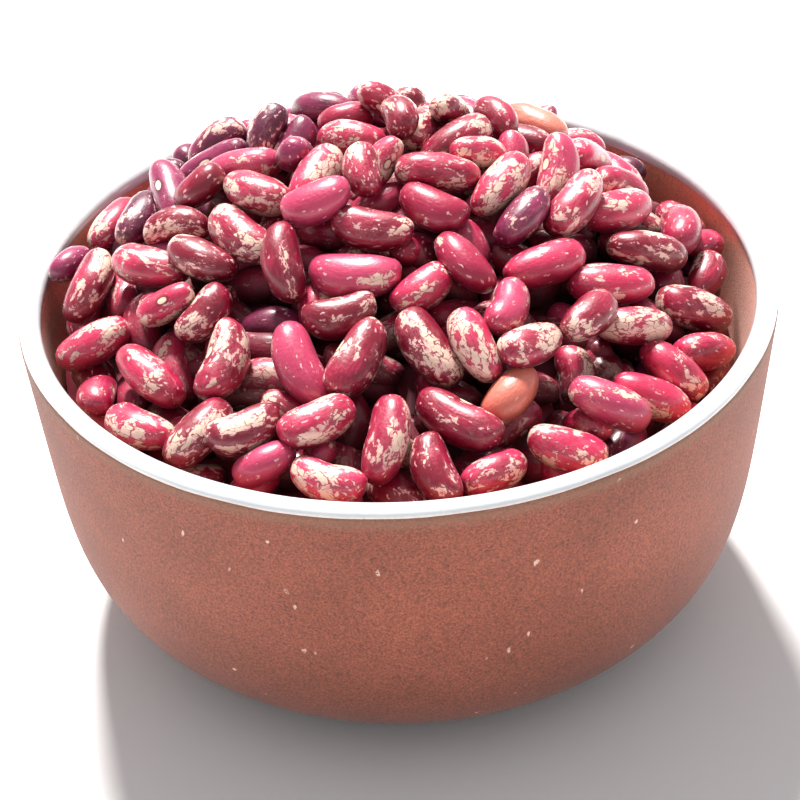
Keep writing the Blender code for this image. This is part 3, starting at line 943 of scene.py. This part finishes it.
    def fill(self, depth):
        """Lays beans in the hollows, the deepest first, until the heap reaches its surface less depth."""
        closed = np.zeros(self.inside.shape, bool)
        for _ in range(TRIES):
            middle = self.hollow(depth, closed)
            if middle is None:
                return
            if not (self.lay_in(middle, depth) or self.lay_in(middle, depth, SHORTEST)):
                closed |= np.hypot(self.x - middle[0], self.y - middle[1]) < CLOSED_ROUND


def laid_heap():
    heap = Heap()
    heap.fill(UNDER_LAYER_DEPTH)
    for row in SHOWN_BEANS:
        heap.lay_shown(*row)
    heap.fill(0.0)
    return heap.beans


def bed_mesh():
    """The heap's buried part: it fills the bowl's hollow less a gap, under a top that follows the heap's."""
    wall = [(radius - BED_GAP, height + BED_GAP) for radius, height in inner_outline()]
    lowest_top = BOWL_HEIGHT + WALL_LEVEL - WALL_LEVEL_SWING - BED_DEPTH
    side = [point for point in wall if point[1] < lowest_top - BED_STEP]
    edge = RIM_RADIUS - WALL - BED_GAP - BED_STEP
    above = BOWL_HEIGHT * 2
    top = [(edge * ring / BED_RINGS, above) for ring in range(BED_RINGS, -1, -1)]
    mesh = turned_mesh("buried beans", [(0.0, BASE_THICKNESS + BED_GAP), *side, *top], BED_SIDES)
    for vert in mesh.vertices:
        if vert.co.z > BOWL_HEIGHT * 1.5:
            vert.co.z = float(heap_top(vert.co.x, vert.co.y)) - BED_DEPTH
    return mesh


def buried_beans():
    """A loose layer of beans at the bed's top, seen only in the gaps of the heap: rings of them, each
    bean at a heading and lean of its own."""
    rng = np.random.RandomState(BURIED_SEED)
    beans = []
    rings = int((RIM_RADIUS - WALL) / BURIED_PITCH)
    for ring in range(rings):
        around = max(1, round(2 * math.pi * ring))
        for step in range(around):
            turn = 2 * math.pi * (step + rng.uniform()) / around
            spot = np.array([math.cos(turn), math.sin(turn)]) * ring * BURIED_PITCH
            spot = spot + rng.uniform(-BURIED_JITTER, BURIED_JITTER, 2)
            sizes = draw_bean(rng)
            angles = (rng.uniform(-math.pi, math.pi), *rng.uniform(-BURIED_LEAN, BURIED_LEAN, 2))
            matrix = turn_matrices(*(np.array([angle]) for angle in angles))[0]
            tips = matrix[:2, 0] * sizes[0] / 2
            far = max(np.hypot(*(spot + tips)), np.hypot(*(spot - tips)))
            room = RIM_RADIUS - WALL - BOWL_CLEARANCE - WIDTH_AT_NO_LENGTH
            spot = spot * min(1.0, room / far)
            height = float(heap_top(*spot)) - BED_DEPTH + BURIED_RISE
            place = np.array([*spot, height])
            beans.append({"sizes": sizes, "place": place, "matrix": matrix, "kind": "buried"})
    return beans


def chosen_kinds(beans, looks):
    """The kind of each bean: the photo's where it shows the bean, and else drawn by its share."""
    rng = np.random.RandomState(KIND_SEED)
    shares = {
        "crimson": looks.share_crimson,
        "rose": looks.share_rose,
        "speckled": looks.share_speckled,
        "cream": looks.share_cream,
        "plum": looks.share_plum,
        "salmon": looks.share_salmon,
    }
    weights = np.array(list(shares.values()))
    drawn = rng.choice(list(shares), size=len(beans), p=weights / weights.sum())
    # Painted shade: many beans at the back on the left are made plum
    painted_shade_plum = rng.uniform(size=len(beans)) < looks.painted_shade_plum
    kinds = []
    for bean, kind, plum_for_shade in zip(beans, drawn, painted_shade_plum):
        across, back = bean["place"][:2]
        if plum_for_shade and across < SHADED_CORNER_LEFT_OF and back > SHADED_CORNER_BEHIND:
            kind = "plum"
        kinds.append(bean["kind"] or str(kind))
    return kinds


def bean_traits(beans):
    """What sets one bean apart from the next: its ends, its hollow side, its colour and its pattern."""
    rng = np.random.RandomState(KIND_SEED + 1)
    shown = -1
    traits = []
    for bean in beans:
        length, width, thickness, bend = bean["sizes"]
        trait = {
            "half": (length / 2, width / 2, thickness / 2),
            "bend": bend * length,
            "turn": tuple(Matrix(bean["matrix"].tolist()).to_quaternion()),
            "taper": rng.uniform(-0.10, 0.10),
            "dent": rng.uniform(0.0, 0.0007),
            "shift": tuple(rng.uniform(0, 500, 3)),
            "tint": rng.uniform(),
            "mottle": rng.uniform(),
            "eye_turn": rng.uniform(-0.3, 0.3),
            "top": float(heap_top(*bean["place"][:2])) * 1000,
        }
        shown += bean["kind"] is not None
        if bean["kind"] is not None and shown == BEAN_WITH_EYE_UP:
            trait["eye_turn"] = EYE_UP_TURN
        traits.append(trait)
    return traits


def bean_places(name, beans, traits):
    """A mesh with a point for each bean, which carries the bean's traits as attributes."""
    mesh = bpy.data.meshes.new(name)
    mesh.from_pydata([bean["place"].tolist() for bean in beans], [], [])
    kinds = {3: ("FLOAT_VECTOR", "vector"), 4: ("QUATERNION", "value")}
    for key in traits[0]:
        values = [trait[key] for trait in traits]
        if isinstance(values[0], tuple):
            kind, field = kinds[len(values[0])]
        else:
            kind, field = "FLOAT", "value"
        flat = np.array(values, dtype=np.float32).ravel()
        mesh.attributes.new(key, kind, "POINT").data.foreach_set(field, flat)
    return mesh


BEAN_INPUTS = {
    "Places": "NodeSocketGeometry",
    "Rings": "NodeSocketInt",
    "Sides": "NodeSocketInt",
    "Bluntness": "NodeSocketFloat",
    "Unevenness": "NodeSocketFloat",
    "Material": "NodeSocketMaterial",
}


def bean_tree():
    """Geometry Nodes that stand a bean at each point, then bend, taper and dent it by its own traits."""
    tree = bpy.data.node_groups.new("laid beans", "GeometryNodeTree")
    for name, kind in BEAN_INPUTS.items():
        tree.interface.new_socket(name=name, in_out="INPUT", socket_type=kind)
    tree.interface.new_socket(name="Beans", in_out="OUTPUT", socket_type="NodeSocketGeometry")
    nodes = Nodes(tree)
    group = tree.nodes.new("NodeGroupInput")
    given = {name: Wire(nodes, group.outputs[name]) for name in BEAN_INPUTS}

    def named(name, kind="FLOAT"):
        return nodes.add("GeometryNodeInputNamedAttribute", {"data_type": kind}, {"Name": name})

    def stored(geometry, name, value):
        settings = {"data_type": "FLOAT_VECTOR", "domain": "POINT"}
        inputs = {"Geometry": geometry, "Name": name, "Value": value}
        return nodes.add("GeometryNodeStoreNamedAttribute", settings, inputs)

    sphere = {"Segments": given["Sides"], "Rings": given["Rings"], "Radius": 1.0}
    ball = nodes.add("GeometryNodeMeshUVSphere", {}, sphere)
    lying = {"Geometry": ball, "Rotation": (0.0, math.pi / 2, 0.0)}
    ball = nodes.add("GeometryNodeTransform", {}, lying)
    place = nodes.add("GeometryNodeInputPosition")
    x, y, z = nodes.split(place)
    blunt = (y * y + z * z).root().at_least(0.0001) ** (given["Bluntness"] - 1.0)
    plump = {"Geometry": ball, "Position": nodes.joined(x, y * blunt, z * blunt)}
    bean = nodes.add("GeometryNodeSetPosition", {}, plump)
    bean = stored(bean, "unit", nodes.add("GeometryNodeInputPosition"))

    turn = named("turn", "QUATERNION")
    half = named("half", "FLOAT_VECTOR")
    laid = {"Points": given["Places"], "Instance": bean, "Rotation": turn, "Scale": half}
    beans = nodes.add("GeometryNodeInstanceOnPoints", {}, laid)
    beans = nodes.add("GeometryNodeRealizeInstances", {}, {"Geometry": beans})

    unit = named("unit", "FLOAT_VECTOR")
    along, across, through = nodes.split(unit)
    half_width, half_thickness = nodes.split(half)[1:]
    bent = named("bend") * (along * along - 1 / 3)
    dent = named("dent") * (along * along * 7.0).decay() * across.at_least(0.0)
    taper = named("taper") * along
    aside = bent - dent + across * half_width * taper
    moved = nodes.joined(0.0, aside, through * half_thickness * taper)
    moved = nodes.add("FunctionNodeRotateVector", {}, {"Vector": moved, "Rotation": turn})
    beans = nodes.add("GeometryNodeSetPosition", {}, {"Geometry": beans, "Offset": moved})

    in_mm = nodes.scaled(nodes.vector("MULTIPLY", unit, half), 1000.0)
    skin = nodes.vector("ADD", in_mm, named("shift", "FLOAT_VECTOR"))
    beans = stored(beans, "skin", skin)
    facing = {"Vector": unit, "Angle": named("eye_turn")}
    eye = nodes.add("ShaderNodeVectorRotate", {"rotation_type": "X_AXIS"}, facing)
    beans = stored(beans, "eye", eye)
    lumps = (nodes.noise(skin, 0.2, 1.0) - 0.5) * given["Unevenness"]
    swell = nodes.scaled(nodes.add("GeometryNodeInputNormal"), lumps)
    beans = nodes.add("GeometryNodeSetPosition", {}, {"Geometry": beans, "Offset": swell})
    beans = nodes.add("GeometryNodeSetShadeSmooth", {}, {"Geometry": beans})
    painted = {"Geometry": beans, "Material": given["Material"]}
    beans = nodes.add("GeometryNodeSetMaterial", {}, painted)
    nodes.placed("NodeGroupOutput", {}, {"Beans": beans})
    return tree


def bean_inputs(looks, material):
    return {
        "Rings": looks.rings,
        "Sides": looks.sides,
        "Bluntness": BLUNT_ENDS,
        "Unevenness": looks.unevenness,
        "Material": material,
    }


def evaluated_mesh(item, tree, inputs):
    """The mesh that a Geometry Nodes tree makes of an object, with these inputs."""
    modifier = item.modifiers.new("laid beans", "NODES")
    modifier.node_group = tree
    for socket in tree.interface.items_tree:
        if socket.in_out == "INPUT" and socket.name in inputs:
            modifier[socket.identifier] = inputs[socket.name]
    depsgraph = bpy.context.evaluated_depsgraph_get()
    mesh = bpy.data.meshes.new_from_object(item.evaluated_get(depsgraph), depsgraph=depsgraph)
    item.modifiers.remove(modifier)
    return mesh


def bean_mesh(name, beans, traits, tree, inputs):
    """One mesh of all these beans, with only the attributes that their material reads."""
    points = bean_places(name, beans, traits)
    holder = bpy.data.objects.new("places", points)
    bpy.context.scene.collection.objects.link(holder)
    mesh = evaluated_mesh(holder, tree, inputs)
    bpy.data.objects.remove(holder, do_unlink=True)
    bpy.data.meshes.remove(points)
    for spent in ("half", "bend", "turn", "taper", "dent", "shift", "eye_turn", "unit"):
        found = mesh.attributes.get(spent)
        if found:
            mesh.attributes.remove(found)
    mesh.name = name
    return mesh


def add_camera():
    """The camera that took the photo, as fitted. It circles a point at the rim's middle."""
    rise = Matrix.Rotation(math.pi / 2 - CAMERA_RISE, 3, "X")
    pan = Matrix.Rotation(CAMERA_PAN, 3, "Y")
    tilt = Matrix.Rotation(CAMERA_TILT, 3, "X")
    roll = Matrix.Rotation(-CAMERA_ROLL, 3, "Z")
    back = Vector((0, -math.cos(CAMERA_RISE), math.sin(CAMERA_RISE))) * CAMERA_DISTANCE
    lens = bpy.data.cameras.new("photo camera")
    lens.sensor_width = CAMERA_SENSOR
    lens.lens = CAMERA_SENSOR * CAMERA_FOCUS_PIXELS / PHOTO_PIXELS
    lens.clip_start = CAMERA_NEAR
    camera = bpy.data.objects.new("photo camera", lens)
    bpy.context.scene.collection.objects.link(camera)
    camera.matrix_world = Matrix.Translation(back + Vector((0, 0, BOWL_HEIGHT))) @ (
        rise @ pan @ tilt @ roll
    ).to_4x4()
    bpy.context.scene.camera = camera


def add_sun(looks):
    """The strong light from behind the bowl."""
    lamp = bpy.data.lights.new("sun", "SUN")
    lamp.energy = looks.sun_strength
    lamp.angle = looks.sun_softness
    lamp.color = looks.sun_colour
    sun = bpy.data.objects.new("sun", lamp)
    bpy.context.scene.collection.objects.link(sun)
    flat = math.cos(looks.sun_height)
    across = math.cos(looks.sun_bearing) * flat
    back = math.sin(looks.sun_bearing) * flat
    to_sun = Vector((across, back, math.sin(looks.sun_height)))
    sun.matrix_world = to_sun.to_track_quat("Z", "Y").to_matrix().to_4x4()


def add_sky(looks):
    """Even light from all round."""
    world = bpy.data.worlds.new("soft light")
    world.use_nodes = True
    bpy.context.scene.world = world
    background = world.node_tree.nodes["Background"]
    background.inputs["Color"].default_value = (*looks.sky_colour, 1.0)
    background.inputs["Strength"].default_value = looks.sky_strength


def add_floor(looks):
    mesh = bpy.data.meshes.new("floor")
    work = bmesh.new()
    bmesh.ops.create_grid(work, x_segments=8, y_segments=8, size=FLOOR_HALF)
    work.to_mesh(mesh)
    work.free()
    mesh.materials.append(floor_material(looks))
    floor = bpy.data.objects.new("floor", mesh)
    bpy.context.scene.collection.objects.link(floor)


def length_property(name, description, default):
    return bpy.props.FloatProperty(
        name=name, description=description, default=default, min=0.0, subtype="DISTANCE", unit="LENGTH"
    )


def share_property(name, description, default):
    return bpy.props.FloatProperty(
        name=name, description=description, default=default, min=0.0, max=1.0, subtype="FACTOR"
    )


def angle_property(name, description, degrees):
    return bpy.props.FloatProperty(
        name=name, description=description, default=math.radians(degrees), subtype="ANGLE", unit="ROTATION"
    )


def colour_property(name, description, default):
    return bpy.props.FloatVectorProperty(
        name=name, description=description, default=default, min=0.0, max=1.0, size=3, subtype="COLOR"
    )


class BowlLooks(bpy.types.PropertyGroup):
    """Sizes and colours of the bowl."""

    glaze_outside: length_property("Glaze outside", "How far the glaze runs out from the lip's top", 0.0026)
    glaze_inside: length_property("Glaze inside", "How far the glaze runs in from the lip's top", 0.0044)
    glaze_wander: length_property("Glaze wander", "How far the glaze's edge strays", 0.00022)
    clay: colour_property("Clay", "Light parts of the clay", (0.284, 0.075, 0.042))
    clay_dark: colour_property("Dark clay", "Dark parts of the clay", (0.236, 0.061, 0.033))
    # Painted light: clay of the inner wall, lighter than the outside's
    lit_clay_inside: colour_property("Inner clay", "Clay inside the bowl", (0.76, 0.28, 0.18))
    clay_speck: colour_property("Clay speck", "Dark specks in the clay", (0.13, 0.05, 0.04))
    clay_fleck: colour_property("Clay fleck", "Pale flecks and scratches", (0.75, 0.50, 0.40))
    clay_stain: colour_property("Stain", "Stain on the clay below the glaze", (0.22, 0.13, 0.085))
    glaze: colour_property("Glaze", "White glaze", (0.72, 0.735, 0.75))
    glaze_shade: colour_property("Shaded glaze", "Cooler parts of the glaze", (0.64, 0.67, 0.71))
    glaze_edge: colour_property("Glaze edge", "Glaze where it is thin", (0.58, 0.42, 0.36))


class BeanLooks(bpy.types.PropertyGroup):
    """Fineness, mixture and colours of the beans."""

    rings: bpy.props.IntProperty(name="Rings", description="Rings of faces along a bean", default=16, min=4)
    sides: bpy.props.IntProperty(name="Sides", description="Faces round a bean", default=20, min=6)
    buried_rings: bpy.props.IntProperty(
        name="Buried rings", description="Rings of faces along a buried bean", default=10, min=4
    )
    buried_sides: bpy.props.IntProperty(
        name="Buried sides", description="Faces round a buried bean", default=12, min=6
    )
    unevenness: length_property("Unevenness", "How deep the beans' own bumps are", 0.0007)
    share_crimson: share_property("Crimson", "Share of plain crimson beans", 0.27)
    share_rose: share_property("Rose", "Share of plain rose beans", 0.19)
    share_speckled: share_property("Speckled", "Share of speckled beans", 0.28)
    share_cream: share_property("Cream", "Share of beans with large pale patches", 0.13)
    share_plum: share_property("Plum", "Share of plum beans", 0.11)
    # Painted shade: plum beans at the back on the left
    painted_shade_plum: share_property("Dusky corner", "Share of beans at the back on the left that are plum", 0.6)
    share_salmon: share_property("Salmon", "Share of salmon beans", 0.0)
    crimson: colour_property("Crimson", "Light crimson skin", (0.63, 0.026, 0.098))
    crimson_deep: colour_property("Deep crimson", "Dark crimson skin", (0.21, 0.0012, 0.020))
    rose: colour_property("Rose", "Light rose skin", (0.55, 0.046, 0.125))
    rose_deep: colour_property("Deep rose", "Dark rose skin", (0.36, 0.008, 0.048))
    # Plum: a skin of its own on some beans, and painted shade on those at the back on the left
    plum: colour_property("Plum", "Light plum skin", (0.30, 0.020, 0.094))
    plum_deep: colour_property("Deep plum", "Dark plum skin", (0.100, 0.004, 0.032))
    salmon: colour_property("Salmon", "Light salmon skin", (0.84, 0.33, 0.25))
    salmon_deep: colour_property("Deep salmon", "Dark salmon skin", (0.68, 0.17, 0.12))
    cream: colour_property("Cream", "Pale patches", (0.84, 0.60, 0.48))
    blush: colour_property("Blush", "Edges of the pale patches", (0.82, 0.33, 0.36))
    fleck: colour_property("Fleck", "Small pale flecks", (0.90, 0.54, 0.55))
    eye: colour_property("Eye", "Scar on a bean's hollow side", (0.84, 0.70, 0.52))
    sheen: colour_property("Sheen", "Sheen at a bean's edges", (1.0, 0.80, 0.86))
    # Painted shade: near black in the gaps, for the bed and for deep skin
    bed: colour_property("Buried beans", "Dark between the beans", (0.022, 0.0007, 0.003))


class StageLooks(bpy.types.PropertyGroup):
    """Light and floor."""

    floor: colour_property("Floor", "Plain pale floor", (0.93, 0.93, 0.935))
    sky_colour: colour_property("Fill colour", "Colour of the light from all round", (0.96, 0.98, 1.0))
    sun_colour: colour_property("Sun colour", "Colour of the light from one side", (1.0, 0.97, 0.93))
    sky_strength: bpy.props.FloatProperty(
        name="Fill strength", description="Strength of the light from all round", default=0.54, min=0.0
    )
    sun_strength: bpy.props.FloatProperty(
        name="Sun strength", description="Strength of the light from one side", default=8.6, min=0.0
    )
    sun_softness: angle_property("Sun softness", "Apparent width of the light", 10.0)
    sun_bearing: angle_property("Sun bearing", "Where the light comes from, round from +X", 100.0)
    sun_height: angle_property("Sun height", "How high the light stands", 55.0)


class BEANBOWL_OT_bowl(bpy.types.Operator):
    """Builds the clay bowl"""

    bl_idname = "beanbowl.bowl"
    bl_label = "Clay bowl"

    def execute(self, context):
        looks = context.scene.beanbowl_bowl
        add_piece("clay_bowl", clay_mesh(), clay_material(looks), "bowl")
        return {"FINISHED"}


class BEANBOWL_OT_glaze(bpy.types.Operator):
    """Builds the glaze over the bowl's lip"""

    bl_idname = "beanbowl.glaze"
    bl_label = "Glazed rim"

    def execute(self, context):
        looks = context.scene.beanbowl_bowl
        add_piece("glazed_rim", glaze_mesh(looks), glaze_material(looks), "bowl")
        return {"FINISHED"}


class BEANBOWL_OT_bed(bpy.types.Operator):
    """Builds the buried part of the heap"""

    bl_idname = "beanbowl.bed"
    bl_label = "Buried beans"

    def execute(self, context):
        looks = context.scene.beanbowl_beans
        add_piece("heap_bed", bed_mesh(), bed_material(looks), "beans")
        beans = buried_beans()
        material = bean_material("buried", bean_skins(looks)["crimson"], looks)
        inputs = bean_inputs(looks, material)
        inputs["Rings"] = looks.buried_rings
        inputs["Sides"] = looks.buried_sides
        mesh = bean_mesh("buried_beans", beans, bean_traits(beans), bean_tree(), inputs)
        add_piece("buried_beans", mesh, material, "beans")
        return {"FINISHED"}


class BEANBOWL_OT_beans(bpy.types.Operator):
    """Lays the beans and builds one piece for each kind"""

    bl_idname = "beanbowl.beans"
    bl_label = "Beans"

    def execute(self, context):
        looks = context.scene.beanbowl_beans
        beans = laid_heap()
        if not beans:
            raise RuntimeError("no bean could be laid")
        kinds = chosen_kinds(beans, looks)
        traits = bean_traits(beans)
        tree = bean_tree()
        for kind, skin_look in bean_skins(looks).items():
            own = [i for i, each in enumerate(kinds) if each == kind]
            material = bean_material(kind, skin_look, looks)
            picked = [beans[i] for i in own]
            inputs = bean_inputs(looks, material)
            mesh = bean_mesh(f"beans_{kind}", picked, [traits[i] for i in own], tree, inputs)
            add_piece(f"beans_{kind}", mesh, material, "beans")
        return {"FINISHED"}


class BEANBOWL_OT_stage(bpy.types.Operator):
    """Sets up the camera, the light and the floor"""

    bl_idname = "beanbowl.stage"
    bl_label = "Stage"

    def execute(self, context):
        looks = context.scene.beanbowl_stage
        context.scene.view_settings.view_transform = "Standard"
        add_camera()
        add_sun(looks)
        add_sky(looks)
        add_floor(looks)
        return {"FINISHED"}


class BEANBOWL_PT_panel(bpy.types.Panel):
    """Lists the steps and what can be changed."""

    bl_label = "Bowl of dried beans"
    bl_idname = "BEANBOWL_PT_panel"
    bl_space_type = "VIEW_3D"
    bl_region_type = "UI"
    bl_category = "Beans"

    def draw(self, context):
        for operator in OPERATORS:
            self.layout.operator(operator.bl_idname)
        for name in LOOKS:
            looks = getattr(context.scene, name)
            box = self.layout.box()
            for key in looks.__annotations__:
                box.prop(looks, key)


OPERATORS = (
    BEANBOWL_OT_bowl,
    BEANBOWL_OT_glaze,
    BEANBOWL_OT_bed,
    BEANBOWL_OT_beans,
    BEANBOWL_OT_stage,
)
LOOKS = {
    "beanbowl_bowl": BowlLooks,
    "beanbowl_beans": BeanLooks,
    "beanbowl_stage": StageLooks,
}


def register():
    for name, looks in LOOKS.items():
        bpy.utils.register_class(looks)
        setattr(bpy.types.Scene, name, bpy.props.PointerProperty(type=looks))
    for operator in OPERATORS:
        bpy.utils.register_class(operator)
    bpy.utils.register_class(BEANBOWL_PT_panel)


def unregister():
    bpy.utils.unregister_class(BEANBOWL_PT_panel)
    for operator in reversed(OPERATORS):
        bpy.utils.unregister_class(operator)
    for name, looks in LOOKS.items():
        delattr(bpy.types.Scene, name)
        bpy.utils.unregister_class(looks)


def main():
    register()
    bpy.ops.beanbowl.bowl()
    bpy.ops.beanbowl.glaze()
    bpy.ops.beanbowl.bed()
    bpy.ops.beanbowl.beans()
    bpy.ops.beanbowl.stage()


if __name__ == "__main__":
    main()
